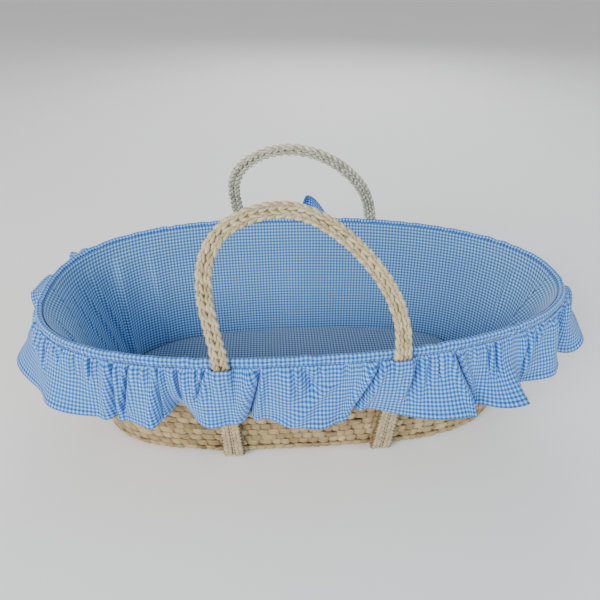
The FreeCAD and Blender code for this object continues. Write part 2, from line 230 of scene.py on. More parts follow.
def tube(centre, side, out, half_width, half_thick, around, closed, shade, squareness=2.0, painted_groove_shade=0.0):
    """A strand swept along centre: wide along side, thick along out."""
    n = len(centre)
    t = np.linspace(0, 2 * math.pi, around, endpoint=False)
    radius = unit_radius(t, squareness)
    c, s = radius * np.cos(t), radius * np.sin(t)
    half_width = np.broadcast_to(half_width, n)[:, None, None]
    half_thick = np.broadcast_to(half_thick, n)[:, None, None]
    points = (centre[:, None] + side[:, None] * c[None, :, None] * half_width
              + out[:, None] * s[None, :, None] * half_thick)
    along = arc_length(centre, closed)
    girth = 2 * math.pi * float(np.mean(half_width))
    v = np.linspace(0, girth, around + 1)
    uv = np.stack(np.meshgrid(along, v, indexing="ij"), -1)
    # Painted shade: each strand's two sides, where it lies against its neighbours, are darkened in the shade
    # attribute.
    if np.ndim(shade) == 1:
        shade = shade[:, None] - painted_groove_shade * (np.abs(np.cos(t)) ** 8)[None, :]
    return grid(points, uv, wrap_rows=closed, wrap_cols=True, shade=shade, caps=not closed)


def solidify(obj, thickness, offset=0.0):
    m = obj.modifiers.new("thickness", "SOLIDIFY")
    m.thickness = thickness
    m.offset = offset
    m.use_rim = True
    return obj


# ================= materials =================
class Shader:
    """A short way to write a node material."""

    def __init__(self, name):
        self.material = bpy.data.materials.new(name)
        self.material.use_nodes = True
        self.nodes = self.material.node_tree.nodes
        self.links = self.material.node_tree.links
        self.bsdf = self.nodes["Principled BSDF"]

    def add(self, kind, **settings):
        node = self.nodes.new(kind)
        for key, value in settings.items():
            setattr(node, key, value)
        return node

    def put(self, socket, value):
        if isinstance(value, bpy.types.NodeSocket):
            self.links.new(value, socket)
        else:
            socket.default_value = value

    def math(self, operation, a, b=0.0, c=0.0):
        node = self.add("ShaderNodeMath", operation=operation)
        for socket, value in zip(node.inputs, (a, b, c)):
            self.put(socket, value)
        return node.outputs[0]

    def mix(self, share, a, b, blend="MIX"):
        node = self.add("ShaderNodeMix", data_type="RGBA", blend_type=blend)
        self.put(node.inputs[0], share)
        self.put(node.inputs[6], a)
        self.put(node.inputs[7], b)
        return node.outputs[2]

    def noise(self, vector, scale, detail=2.0, roughness=0.5):
        node = self.add("ShaderNodeTexNoise")
        self.put(node.inputs["Vector"], vector)
        node.inputs["Scale"].default_value = scale
        node.inputs["Detail"].default_value = detail
        node.inputs["Roughness"].default_value = roughness
        return node.outputs["Fac"]

    def scaled(self, vector, x, y, z=1.0):
        node = self.add("ShaderNodeMapping")
        self.put(node.inputs["Vector"], vector)
        node.inputs["Scale"].default_value = (x, y, z)
        return node.outputs[0]

    def ramp(self, fac, stops):
        node = self.add("ShaderNodeValToRGB")
        self.put(node.inputs[0], fac)
        while len(node.color_ramp.elements) < len(stops):
            node.color_ramp.elements.new(0.5)
        for element, (position, colour) in zip(node.color_ramp.elements, stops):
            element.position = position
            element.color = colour
        return node.outputs[0]

    def uv(self):
        return self.add("ShaderNodeUVMap", uv_map="UVMap").outputs[0]

    def object_space(self):
        return self.add("ShaderNodeTexCoord").outputs["Object"]

    def attribute(self, name):
        return self.add("ShaderNodeAttribute", attribute_name=name).outputs["Fac"]

    def bump(self, height, strength, distance):
        node = self.add("ShaderNodeBump")
        node.inputs["Strength"].default_value = strength
        node.inputs["Distance"].default_value = distance
        self.put(node.inputs["Height"], height)
        self.links.new(node.outputs[0], self.bsdf.inputs["Normal"])


def srgb(r, g, b):
    """8-bit screen colour to the linear colour that shaders take."""
    def linear(c):
        c /= 255.0
        return c / 12.92 if c <= 0.04045 else ((c + 0.055) / 1.055) ** 2.4
    return (linear(r), linear(g), linear(b), 1.0)


def gingham(name, white, half, blue):
    """Cotton gingham: dyed and undyed yarn in equal stripes both ways, 3 mm checks."""
    s = Shader(name)
    uv = s.uv()
    parts = s.add("ShaderNodeSeparateXYZ")
    s.put(parts.inputs[0], uv)

    def stripe(coordinate):
        wave = s.math("FRACT", s.math("DIVIDE", coordinate, REPEAT))
        centred = s.math("ABSOLUTE", s.math("SUBTRACT", wave, 0.5))
        edge = s.add("ShaderNodeMapRange", interpolation_type="SMOOTHSTEP")
        s.put(edge.inputs["Value"], centred)
        edge.inputs["From Min"].default_value = 0.22
        edge.inputs["From Max"].default_value = 0.28
        return edge.outputs[0]

    across, along = stripe(parts.outputs[0]), stripe(parts.outputs[1])
    total = s.math("MULTIPLY", s.math("ADD", across, along), 0.5)
    colour = s.ramp(total, [(0.0, white), (0.5, half), (1.0, blue)])
    space = s.object_space()
    faded = s.noise(space, 9.0, 3.0)
    tint = s.ramp(faded, [(0.3, (0.93, 0.95, 0.97, 1)), (0.7, (1, 1, 1, 1))])
    slub = s.noise(s.scaled(uv, 300.0, 2500.0), 1.0, 2.0)
    slubs = s.ramp(slub, [(0.3, (0.9, 0.9, 0.9, 1)), (0.7, (1, 1, 1, 1))])
    colour = s.mix(1.0, colour, tint, "MULTIPLY")
    colour = s.mix(0.8, colour, slubs, "MULTIPLY")
    s.put(s.bsdf.inputs["Base Color"], colour)
    warp = s.math("SINE", s.math("MULTIPLY", parts.outputs[0], 2 * math.pi / 0.00042))
    weft = s.math("SINE", s.math("MULTIPLY", parts.outputs[1], 2 * math.pi / 0.00042))
    cloth = s.math("MULTIPLY", warp, weft)
    crumple = s.noise(space, 55.0, 4.0, 0.6)
    height = s.math("ADD", s.math("MULTIPLY", cloth, 0.06), crumple)
    s.bump(height, 0.5, 0.0012)
    s.bsdf.inputs["Roughness"].default_value = 0.86
    s.bsdf.inputs["Sheen Weight"].default_value = 0.25
    s.bsdf.inputs["Sheen Roughness"].default_value = 0.5
    s.bsdf.inputs["Specular IOR Level"].default_value = 0.25
    return s.material


def husk(name, dark, mid, light, twist, fibre_scale=900.0, fibre_depth=0.0006, roughness=0.62):
    """Dried husk: fibres wound along each strand, each strand its own random colour, with painted shade in
    the grooves and crossings from the shade attribute.
    """
    s = Shader(name)
    turned = s.add("ShaderNodeMapping")
    s.put(turned.inputs["Vector"], s.uv())
    turned.inputs["Rotation"].default_value = (0.0, 0.0, math.radians(twist))
    uv = turned.outputs[0]
    space = s.object_space()
    fibres = s.noise(s.scaled(uv, 60.0, fibre_scale), 1.0, 4.0, 0.65)
    creases = s.noise(s.scaled(uv, 40.0, fibre_scale * 0.28), 1.0, 2.0, 0.5)
    blotch = s.noise(space, 38.0, 3.0, 0.6)
    tone_and_painted_shade = s.attribute("shade")
    value = s.math("ADD", s.math("MULTIPLY", fibres, 0.50), s.math("MULTIPLY", creases, 0.28))
    value = s.math("ADD", value, s.math("MULTIPLY", blotch, 0.22))
    # The shade attribute brings in each strand's random lightness and the painted shade of its grooves and
    # crossings.
    value = s.math("ADD", value, s.math("MULTIPLY", s.math("SUBTRACT", tone_and_painted_shade, 0.5), 0.7))
    colour = s.ramp(value, [(0.22, dark), (0.5, mid), (0.8, light)])
    s.put(s.bsdf.inputs["Base Color"], colour)
    height = s.math("ADD", s.math("MULTIPLY", fibres, 0.5), creases)
    s.bump(height, 0.9, fibre_depth)
    rough = s.add("ShaderNodeMapRange")
    s.put(rough.inputs["Value"], creases)
    rough.inputs["To Min"].default_value = roughness - 0.12
    rough.inputs["To Max"].default_value = roughness + 0.14
    s.put(s.bsdf.inputs["Roughness"], rough.outputs[0])
    s.bsdf.inputs["Specular IOR Level"].default_value = 0.35
    return s.material


def plain_fibre(name, colour, darker, scale, depth, roughness):
    """Undyed soft stuff: wadding, foam, elastic or cord, with a fine mottled surface."""
    s = Shader(name)
    space = s.object_space()
    fine = s.noise(space, scale, 4.0, 0.7)
    s.put(s.bsdf.inputs["Base Color"], s.ramp(fine, [(0.3, darker), (0.7, colour)]))
    s.bump(fine, 0.7, depth)
    s.bsdf.inputs["Roughness"].default_value = roughness
    return s.material


def floor_material():
    s = Shader("pale_floor")
    soft = s.noise(s.object_space(), 1.5, 2.0)
    s.put(s.bsdf.inputs["Base Color"],
          s.ramp(soft, [(0.3, (0.90, 0.90, 0.90, 1)), (0.7, (0.92, 0.92, 0.92, 1))]))
    s.bsdf.inputs["Roughness"].default_value = 0.9
    return s.material


TRIM = gingham("gingham_trim", srgb(150, 198, 248), srgb(72, 140, 212), srgb(14, 84, 176))
LINER = gingham("gingham_liner", srgb(160, 206, 250), srgb(102, 150, 202), srgb(52, 98, 154))
# Painted shade: the mattress sheet is a greyer, darker copy of the liner gingham, standing in for the shade
# inside the basket.
SHEET_PAINTED_SHADE = gingham("gingham_sheet_painted_shade", srgb(166, 188, 216), srgb(108, 138, 174), srgb(66, 98, 140))
WEAVE = husk("husk_weave", srgb(94, 70, 40), srgb(167, 144, 102), srgb(208, 191, 150), 38.0)
ROPE = husk("husk_handle", srgb(120, 100, 66), srgb(206, 191, 152), srgb(234, 225, 196), 14.0, 1100.0)
# Painted light: the back handle gets a paler, greyer copy of the handle husk, standing in for the brighter
# light that falls on it.
ROPE_BACK_PAINTED_LIGHT = husk("husk_handle_back_painted_light", srgb(132, 122, 96), srgb(210, 206, 184), srgb(236, 234, 218),
                 14.0, 1100.0)
STRAP = husk("husk_strap", srgb(88, 70, 44), srgb(172, 156, 122), srgb(212, 200, 170), 14.0, 1100.0)
CORD = plain_fibre("sewing_cord", srgb(206, 190, 158), srgb(150, 130, 98), 900.0, 0.0003, 0.8)
SPLINT = husk("split_stem", srgb(110, 84, 50), srgb(168, 138, 94), srgb(196, 170, 124), 0.0)
WADDING = plain_fibre("wadding", srgb(240, 240, 238), srgb(214, 214, 212), 160.0, 0.002, 0.95)
FOAM = plain_fibre("foam", srgb(238, 234, 216), srgb(214, 208, 186), 700.0, 0.0006, 0.9)
ELASTIC = plain_fibre("elastic", srgb(236, 236, 236), srgb(190, 190, 190), 1400.0, 0.0002, 0.7)


def place(obj, body, material, slot, *replaced):
    obj.data.materials.clear()
    obj.data.materials.append(material)
    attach(obj, body)
    if replaced:
        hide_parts(*replaced)
    return obj


# ================= woven wall and base =================
# Crossings of the two strands in each row of the wall, and points along each of them.
CROSSINGS = 104
PER_BUMP = 12
ROW_PITCH = 0.0193
STRAND_THICK = 0.0108
# The two top rows are thinner, to lie under the band.
TOP_STRAND_THICK = 0.0074


def twined_row(name, centre, out, up, bumps, pitch, thick, seed, phase=0.0, around=14):
    """Two husk strands twisted along a row: each in turn swells outside and dives behind the other."""
    n = bumps * PER_BUMP
    rng = np.random.default_rng(seed)
    s = np.arange(n) / PER_BUMP
    grids = []
    bump_wide = rng.normal(0, 0.035, bumps)
    bump_out = rng.normal(0, 0.07, bumps)
    bump_up = rng.normal(0, 0.03, bumps)
    bump_tone = rng.normal(0, 0.11, bumps)
    slide = 0.16 * wobble(s, bumps, seed + 7, 6, 5, 40)
    which = np.floor(s + phase + slide).astype(int) % bumps
    within = (s + phase + slide) % 1.0
    soft = np.sin(math.pi * within) ** 0.8
    row_tone = rng.normal(0, 0.03)
    for strand in (0, 1):
        turn = math.pi * (s + phase + slide + strand)
        over = np.sin(turn)
        flat = np.tanh(4.5 * over) / math.tanh(4.5)
        front = (over > 0).astype(float)
        depth = thick * (0.03 + 0.25 * flat + 0.05 * front * np.abs(over))
        depth = depth + thick * 0.5 * soft * bump_out[which] * front
        sway = pitch * (0.07 * np.cos(turn) + bump_up[which] * soft)
        wide = pitch * (0.40 + 0.085 * np.abs(flat)) * (1 + bump_wide[which] * soft)
        fat = thick * (0.22 + 0.05 * front * np.abs(over))
        middle = centre + out * depth[:, None] + up * sway[:, None]
        forward = unit(np.roll(middle, -1, 0) - np.roll(middle, 1, 0))
        side = unit(up - forward * np.sum(up * forward, 1, keepdims=True))
        normal = np.cross(side, forward)
        normal *= np.sign(np.sum(normal * out, 1, keepdims=True))
        # Painted shade: each strand darkens towards the ends of its bump, where it dives behind the other
        # strand; row_tone and bump_tone are random.
        tone_and_painted_shade = 0.5 + row_tone + bump_tone[which] * soft * front - 0.34 * (1 - soft) ** 2
        grids.append(tube(middle, side, normal, wide, fat, around, True, tone_and_painted_shade, 3.6, 0.30))
    return mesh_object(name, grids)


def woven_wall():
    slope = math.hypot(RIM_HALF_WIDTH - BASE_HALF_WIDTH, RIM_HEIGHT - BASE_Z)
    first = 0.0015
    last = level_below_rim(0.0135)
    rows = int(round((last - first) * slope / ROW_PITCH)) + 1
    for row in range(rows):
        level = first + (last - first) * row / (rows - 1)
        n = CROSSINGS * PER_BUMP
        a = even_angles(CROSSINGS, 0.5)
        fine = np.interp(np.arange(n) / PER_BUMP, np.arange(CROSSINGS + 1), np.append(a, a[0] + 2 * math.pi))
        inset = 0.0006 if row == 0 else 0.0
        wave = 0.0009 * wobble(np.arange(n), n, 300 + row, 6, 2, 14)
        centre = wall_points(fine, level + wave / slope, inset)
        upper = wall_points(fine, level + 0.02, 0.0)
        up = unit(upper - wall_points(fine, level - 0.02, 0.0))
        forward = unit(np.roll(centre, -1, 0) - np.roll(centre, 1, 0))
        if row == 0:
            outward = unit(np.cross(forward, up))
            up = unit(up + 0.12 * outward)
        out = unit(np.cross(forward, up))
        thick = STRAND_THICK if row < rows - 2 else TOP_STRAND_THICK
        obj = twined_row("side_weave_row_%02d" % (row + 1), centre, out, up, CROSSINGS, ROW_PITCH,
                         thick, 40 + row, 0.5 * (row % 2))
        place(obj, "root", WEAVE, "husk_weave", "side_weave")


def woven_base():
    rings = int(BASE_HALF_WIDTH / ROW_PITCH)
    for ring in range(rings):
        inset = 0.008 + ROW_PITCH * (ring + 0.5)
        a = np.linspace(-math.pi, math.pi, 1441)
        x = (BASE_HALF_LENGTH - inset) * unit_radius(a, BASE_POWER) * np.cos(a) + BASE_SHIFT
        y = (BASE_HALF_WIDTH - inset) * unit_radius(a, BASE_POWER) * np.sin(a)
        line = np.stack([x, y], 1)
        length = arc_length(line)
        bumps = 2 * int(length[-1] / 0.0185 / 2)
        s = np.arange(bumps * PER_BUMP) / (bumps * PER_BUMP) * length[-1]
        px, py = np.interp(s, length, x), np.interp(s, length, y)
        centre = np.stack([px, py, np.full_like(px, BASE_Z - 0.0028)], 1)
        forward = unit(np.roll(centre, -1, 0) - np.roll(centre, 1, 0))
        out = np.tile([0.0, 0.0, -1.0], (len(centre), 1))
        up = unit(np.cross(out, forward))
        obj = twined_row("woven_base_row_%02d" % (ring + 1), centre, out, up, bumps, ROW_PITCH,
                         STRAND_THICK, 140 + ring, 0.5 * (ring % 2), 10)
        place(obj, "root", WEAVE, "husk_weave", "woven_base")


# ================= ropes =================
def smooth_route(corners, step):
    """A smooth line guided by its corners, passing through its two ends."""
    corners = np.array(corners, float)
    middles = 0.5 * (corners[1:] + corners[:-1])
    pieces = [corners[0][None]]
    for i in range(1, len(corners) - 1):
        p0 = corners[0] if i == 1 else middles[i - 1]
        p2 = corners[-1] if i == len(corners) - 2 else middles[i]
        t = np.linspace(0, 1, 40)[1:, None]
        pieces.append((1 - t) ** 2 * p0 + 2 * t * (1 - t) * corners[i] + t ** 2 * p2)
    line = np.concatenate(pieces)
    s = arc_length(line)
    count = max(int(s[-1] / step), 8)
    even = np.linspace(0, s[-1], count)
    return np.stack([np.interp(even, s, line[:, k]) for k in range(line.shape[1])], 1)


def tangents(line):
    return unit(np.gradient(line, axis=0))


def plait(centre, side, out, width, thick, period, seed, start=0.0, under_shade=0.25):
    """Three husk strands braided flat: each swings from edge to edge, over then under."""
    rng = np.random.default_rng(seed)
    s = arc_length(centre)
    width = np.broadcast_to(width, len(s))
    grids = []
    drift = 0.16 * wobble(s, s[-1] * 1.3, seed + 3, 6, 3, 22)
    for strand in range(3):
        turn = 2 * math.pi * (s / period + strand / 3.0 + start) + drift
        swing = 0.300 * width * (np.sin(turn) + 0.05 * np.sin(3 * turn))
        lift = 0.24 * thick * np.sin(2 * turn)
        edge = np.abs(np.sin(turn)) ** 2
        fat = 1.0 + 0.07 * wobble(s, s[-1] * 1.1, seed + 11 + strand, 8, 5, 40)
        middle = centre + side * swing[:, None] + out * lift[:, None]
        forward = tangents(middle)
        across = unit(side - forward * np.sum(side * forward, 1, keepdims=True))
        normal = np.cross(forward, across)
        tone_and_painted_shade = 0.55 + rng.normal(0, 0.03) + 0.04 * wobble(s, s[-1], seed + 21 + strand, 8, 4, 40)
        # Painted shade: darker where the strand passes under the others; the same amount darkens its sides,
        # where it lies against its neighbours.
        tone_and_painted_shade = tone_and_painted_shade - under_shade * np.clip(-lift / (0.24 * thick), 0, 1)
        half = 0.225 * width
        round_lobe = 0.90 + 0.24 * edge
        grids.append(tube(middle, across, normal, half * fat * round_lobe, 0.275 * thick * fat,
                          16, False, tone_and_painted_shade, 2.2, under_shade))
    return grids


FRONT_ARCH = [(-0.131, 0), (-0.150, 0.104), (-0.128, 0.166), (-0.074, 0.192), (-0.014, 0.192),
              (0.046, 0.152), (0.094, 0.092), (0.113, 0.042), (0.115, 0)]
BACK_ARCH = [(-0.122, 0), (-0.126, 0.095), (-0.102, 0.152), (-0.052, 0.188), (0.002, 0.190),
             (0.058, 0.158), (0.104, 0.102), (0.128, 0.048), (0.139, 0)]
FRONT_LEAN = 26.0
BACK_LEAN = 30.0
SLOT_DEPTH = 0.040
HANDLE_THICK = 0.0102
HANDLE_PERIOD = 0.0385
STITCH_RADIUS = 0.0008


def side_at(x, level, offset, side):
    a = angle_at_x(x, level, side)
    return wall_points(np.array(a), level, offset)


def handle(name, corners, legs, lean, side, material, seed):
    """Two plaits side by side, from under the frill, over the arch and down again."""
    left, right = (side_at(x, 1.0, HANDLE_REACH, side) for x in legs)
    along = unit(np.array([right[0] - left[0], right[1] - left[1], 0.0]))
    origin = np.array([left[0], left[1], HINGE_Z]) - along * left[0] / along[0]
    inward = np.cross([0, 0, 1.0], along) * (-side)
    tilt = math.radians(lean)
    up = inward * math.sin(tilt) + np.array([0, 0, 1.0]) * math.cos(tilt)
    arch = [origin + along * x + up * y for x, y in corners]
    feet = []
    for x in legs:
        foot = side_at(x, level_below_rim(SLOT_DEPTH), HANDLE_REACH + 0.0004, side)
        high = side_at(x, 1.0, HANDLE_REACH, side)
        feet.append([foot, 0.5 * (foot + high)])
    route = feet[0] + arch + feet[1][::-1]
    line = smooth_route(route, 0.0016)
    face = np.cross(along, up) * (-1)
    forward = tangents(line)
    sideways = unit(np.cross(face, forward))
    outward = np.cross(forward, sideways)
    along_line = arc_length(line)
    from_foot = np.minimum(along_line, along_line[-1] - along_line)
    half = 0.0053 + 0.0006 * np.exp(-(from_foot / 0.062) ** 4)
    for part, sign in (("outer", 1.0), ("inner", -1.0)):
        centre = line + sideways * (half * sign)[:, None]
        second = part == "inner"
        grids = plait(centre, sideways, outward, 2.05 * half, HANDLE_THICK, HANDLE_PERIOD,
                      seed + second, 0.17 * second, 0.20)
        obj = mesh_object("%s_%s_plait" % (name, part), grids)
        obj.data.materials.append(material)
        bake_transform(obj)
        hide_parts("%s_%s_rope" % (name, part))
    stitch = tube(line, sideways, outward, STITCH_RADIUS, STITCH_RADIUS, 8, False, 0.5)
    cord = mesh_object(name + "_stitch_cord", [stitch])
    cord.data.materials.append(CORD)
    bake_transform(cord)
    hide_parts(name + "_seam_cord")


STRAP_TOP = 0.244
STRAP_HALF_PITCH = 0.0093
UNDER_STRAP_Z = 0.0056


def strap(hand, index, seed):
    away = -1.0 if hand == "left" else 1.0
    for part, sign in (("outer", away), ("inner", -away), ("seam", 0.0)):
        def run(side):
            leg = (FRONT_LEGS if side < 0 else BACK_LEGS)[index]
            foot = (FRONT_STRAP_X if side < 0 else BACK_STRAP_X)[index]
            top = side_at(leg + sign * 0.0057, 1.0, HANDLE_REACH, side)
            low = side_at(foot + sign * STRAP_HALF_PITCH, 0.0, 0.0136, side)
            low[2] = 0.0066
            share = (STRAP_TOP - low[2]) / (top[2] - low[2])
            return low + (top - low) * share, low
        front_top, front_low = run(-1)
        back_top, back_low = run(1)
        down = unit(front_low - front_top)
        cross = unit(back_low - front_low)
        rise = unit(back_top - back_low)
        under = np.array([0.0, 0.0, UNDER_STRAP_Z])
        flat = np.array([1.0, 1.0, 0.0])
        route = [front_top, front_low - down * 0.030, front_low - down * 0.004,
                 (front_low + cross * 0.014) * flat + under, (front_low + cross * 0.05) * flat + under,
                 (back_low - cross * 0.05) * flat + under, (back_low - cross * 0.014) * flat + under,
                 back_low + rise * 0.004, back_low + rise * 0.030, back_top]
        line = smooth_route(route, 0.0016)
        forward = tangents(line)
        sideways = np.tile([1.0, 0.0, 0.0], (len(line), 1))
        sideways = unit(sideways - forward * np.sum(sideways * forward, 1, keepdims=True))
        outward = np.cross(forward, sideways)
        if part == "seam":
            grids = [tube(line + outward * 0.0030, sideways, outward, 0.0015, 0.0015, 10, False, 0.5)]
            obj = mesh_object("strap_%s_seam" % hand, grids)
            place(obj, "root", CORD, "sewing_cord", "strap_%s_seam_cord" % hand)
            continue
        height = np.clip((line[:, 2] - 0.03) / (STRAP_TOP - 0.03), 0, 1)
        beneath = np.clip((0.012 - line[:, 2]) / 0.007, 0, 1)
        width = 0.0172 - 0.0048 * height
        thick = 0.0128 - 0.0048 * beneath
        grids = plait(line, sideways, outward, width, thick, 0.0340, seed + int(sign), 0.3 * sign, 0.45)
        obj = mesh_object("strap_%s_%s_plait" % (hand, part), grids)
        place(obj, "root", STRAP, "strap_rope", "strap_%s_%s_rope" % (hand, part))


# ================= fabric =================
def liner_offset(level):
    """The liner lies on the padding below, and closes up on the weave near the rim."""
    depth = (1.0 - level) * (RIM_HEIGHT - BASE_Z)
    near = np.clip(1.0 - depth / 0.045, 0, 1)
    return -0.0094 + 0.0041 * near * near * (3 - 2 * near)


def liner():
    """The inside panel: a front and a back length of gingham, sewn at the two ends."""
    rows, cols = 46, 520
    levels = np.linspace(0.055, level_below_rim(0.0045), rows)
    slope = math.hypot(RIM_HALF_WIDTH - BASE_HALF_WIDTH, RIM_HEIGHT - BASE_Z)
    halves, padding = [], []
    turn, share = half_turn()
    for side in (-1, 1):
        a = side * np.interp(np.linspace(0, 1, cols), share, turn)
        grid_a, grid_level = np.meshgrid(a, levels)
        fold = crease(grid_a, grid_level)
        base = liner_offset(grid_level)
        p = wall_points(grid_a, grid_level, base - fold)
        u = np.stack([arc_length(p[r]) for r in range(rows)])
        zero = np.array([np.interp(0.0, -p[r, :, 0], u[r]) for r in range(rows)])
        v = (levels[:, None] * slope) + 0 * u
        uv = np.stack([u - zero[:, None], v], -1)
        halves.append(grid(p, uv))
        padding.append(grid(wall_points(grid_a, grid_level, base + 0.0022)[:-4], uv[:-4]))
    obj = mesh_object("liner_side", halves)
    merge(obj)
    solidify(obj, 0.0008)
    place(obj, "root", LINER, "gingham_liner", "liner_side_panel")
    batting = mesh_object("liner_padding", padding)
    merge(batting)
    solidify(batting, 0.0026)
    place(batting, "root", WADDING, "wadding", "liner_wadding")


def half_turn():
    """Even steps along half the outline, as (share of its length, direction)."""
    a = np.linspace(0, math.pi, 721)
    x, y = wall_xy(a, 0.6)
    s = arc_length(np.stack([x, y], 1))
    return a, s / s[-1]


# Where the liner folds as it turns round the ends: (direction in degrees at the rim, at the base,
# width in degrees, depth in metres). The far side of each fold is the steep one.
LINER_FOLDS = [(140, 152, 5.0, 0.0110), (156, 150, 3.4, 0.0070), (131, 132, 3.0, 0.0050),
               (164, 158, 3.0, 0.0055), (172, 168, 2.6, 0.0030), (-152, -150, 3.0, 0.0050),
               (-166, -168, 3.0, 0.0040), (22, 13, 3.4, 0.0050), (33, 37, 3.4, 0.0035),
               (5, -8, 4.0, 0.0055), (-24, -22, 2.8, 0.0040)]


def crease(a, level):
    """Soft upright folds where the liner turns round the two ends, deepest half way up."""
    deg = np.degrees(a)
    total = np.zeros_like(deg)
    for top, bottom, width, depth in LINER_FOLDS:
        far = deg - (bottom + (top - bottom) * level)
        total += depth * np.exp(-(far / np.where(far < 0, width, 0.28 * width)) ** 2)
    puff = 0.0009 * (1 + np.sin(math.radians(1) * deg * 13 + 4 * level)) * np.sin(math.pi * level)
    return total * np.sin(math.pi * np.clip(level * 1.12, 0, 1)) ** 0.6 + puff


def merge(obj):
    """Joins the panel's two halves where their edges meet."""
    bm = bmesh.new()
    bm.from_mesh(obj.data)
    bmesh.ops.remove_doubles(bm, verts=bm.verts, dist=1e-6)
    bm.to_mesh(obj.data)
    bm.free()


def border():
    """The bundle of husk that finishes the top of the weave, hidden by the band."""
    a = even_angles(700)
    centre = rim_points(a, -0.0004, 0.0052)
    forward = unit(np.roll(centre, -1, 0) - np.roll(centre, 1, 0))
    up = np.tile([0.0, 0.0, 1.0], (len(a), 1))
    out = unit(np.cross(forward, up))
    turn = np.arange(700) / 700 * 2 * math.pi * 90
    grids = []
    for strand in (0, 1):
        c, d = np.cos(turn + math.pi * strand), np.sin(turn + math.pi * strand)
        middle = centre + out * (0.0012 * c)[:, None] + up * (0.0012 * d)[:, None]
        grids.append(tube(middle, out, up, 0.0019, 0.0019, 10, True, 0.5))
    obj = mesh_object("rim_border_cord", grids)
    place(obj, "root", WEAVE, "husk_weave", "rim_border")


CREST = 0.0043
SEAM_DEPTH = 0.0120
SEAM_OFFSET = 0.0050


def band():
    """The plain band over the rim: from the liner's edge over the top and down outside."""
    cols = 900
    a = even_angles(cols)
    section = [(-CREST - 0.0017, 0.0100), (-CREST - 0.0008, 0.0070)]
    for k in range(9):
        turn = math.pi * k / 8
        section.append((-CREST * math.cos(turn), CREST - CREST * math.sin(turn)))
    section += [(0.0046, 0.0065), (0.0045, 0.0085), (0.0042, 0.0105), (0.0038, 0.0122),
                (0.0033, 0.0150), (0.0027, 0.0175)]
    rows = len(section)
    s = arc_length(rim_points(a, 0.0, 0.0), True)
    points = np.zeros((rows, cols, 3))
    for r, (offset, drop) in enumerate(section):
        outside = np.clip((r - 8) / 4.0, 0, 1)
        pucker = 0.0005 * outside * wobble(s[:-1], s[-1], 5, 14, 90, 190)
        soft = 0.0005 * wobble(s[:-1], s[-1], 8, 8, 6, 40)
        lump = 0.0005 * wobble(s[:-1], s[-1], 9, 8, 20, 90)
        points[r] = rim_points(a, offset + pucker + soft * outside, drop + lump * (2 <= r <= 10))
    v = arc_length(np.array(section))
    uv = np.stack(np.meshgrid(v, s, indexing="ij")[::-1], -1)
    obj = mesh_object("rim_band_cloth", [grid(points, uv, wrap_cols=True)])
    solidify(obj, 0.0009)
    place(obj, "root", TRIM, "gingham_trim", "rim_band")


# The frill's crests and valleys, going round from the left end by the front and back again:
# (direction, how far the cloth hangs out from straight down), both in degrees.
TURNS = [(-190, 50), (-180, 30), (-165, 40), (-150, 20), (-143, 30), (-127, 5), (-121, 15), (-117, -30),
         (-110, 10), (-103, -10), (-90, 20), (-82, -15), (-62, 45), (-59, 5), (-51, 60), (-46, 0), (-35, 25),
         (-20, -10), (-10, 40), (0, 45), (9, 70), (18, 5), (138, 5), (149, 75), (152, 50), (158, 80),
         (165, 75), (170, 50)]
# Between these two directions the folds are even waves.
EVEN_FROM, EVEN_TO = 18, 138
EVEN_WAVES = 7
EVEN_SWING = 12
FRILL_LENGTH = 0.099
# Where the frill is longer than that: (direction, half width in degrees, extra share).
LONGER = [(-52, 8, 0.05), (-30, 6, 0.04), (-13, 4, 0.18)]

# Single folds that run down from the seam: (direction at the top, direction at the bottom, share of the
# way down where it begins, where it ends; how deep in units of CREASE_DEPTH, how wide and how far it
# laps sideways in millimetres).
CREASE_DEPTH = 0.0014
CREASES = [
    (-171, -172, 0, 0.6, 6, 5, 3), (-160, -157, 0, 0.4, 5, 4, 2), (-149, -148, 0, 0.5, 5, 4, -2),
    (-141, -142, 0, 0.2, 4, 3, 1), (-133, -133, 0, 0.3, 5, 3, 1), (-128, -129, 0, 1.1, 11, 4, 7),
    (-124, -126, 0, 0.8, 6, 3, -4), (-119, -120, 0, 1.1, 7, 3, 5), (-115, -115, 0, 0.7, 8, 4, -5),
    (-110, -112, 0, 0.5, 5, 3, -2), (-101, -104, 0, 1.1, 12, 5, 9), (-93, -91, 0, 0.4, 4, 5, 0),
    (-88, -96, 0.3, 1.0, -4, 9, 0), (-79, -84, 0, 1.1, 13, 5, 9), (-71, -73, 0, 0.7, 6, 5, 1),
    (-64, -59, 0, 1.1, 10, 4, 4), (-54, -54, 0, 0.5, 6, 3, 1), (-44, -47, 0, 1.1, 9, 4, 4),
    (-38, -40, 0, 0.2, 5, 3, 0), (-30, -27, 0.1, 1.1, 6, 4, 5), (-25, -25, 0.1, 0.8, 9, 20, 0),
    (-18, -18, 0.1, 1.1, 4, 8, -13), (-10, -4, 0, 0.5, 5, 4, 0), (36, 35, 0, 1.1, 9, 4, -6),
    (60, 59, 0, 1.1, 9, 4, 6), (116, 117, 0, 1.1, 9, 4, 6), (136, 135, 0, 0.9, 8, 4, -6),
]
# Small lobes where the cloth stands up behind the band, seen over the rim: (direction, half width).
LOBES = [(150, 3.5), (142, 3.5), (128, 3.5), (116, 2), (99, 1), (63, 1)]
LOBE_LIFT = 95
# The flap turned up at the back: directions where it begins, stands highest and ends.
FLAP = (74, 88, 93)
FLAP_START, FLAP_CURL = 30, 190


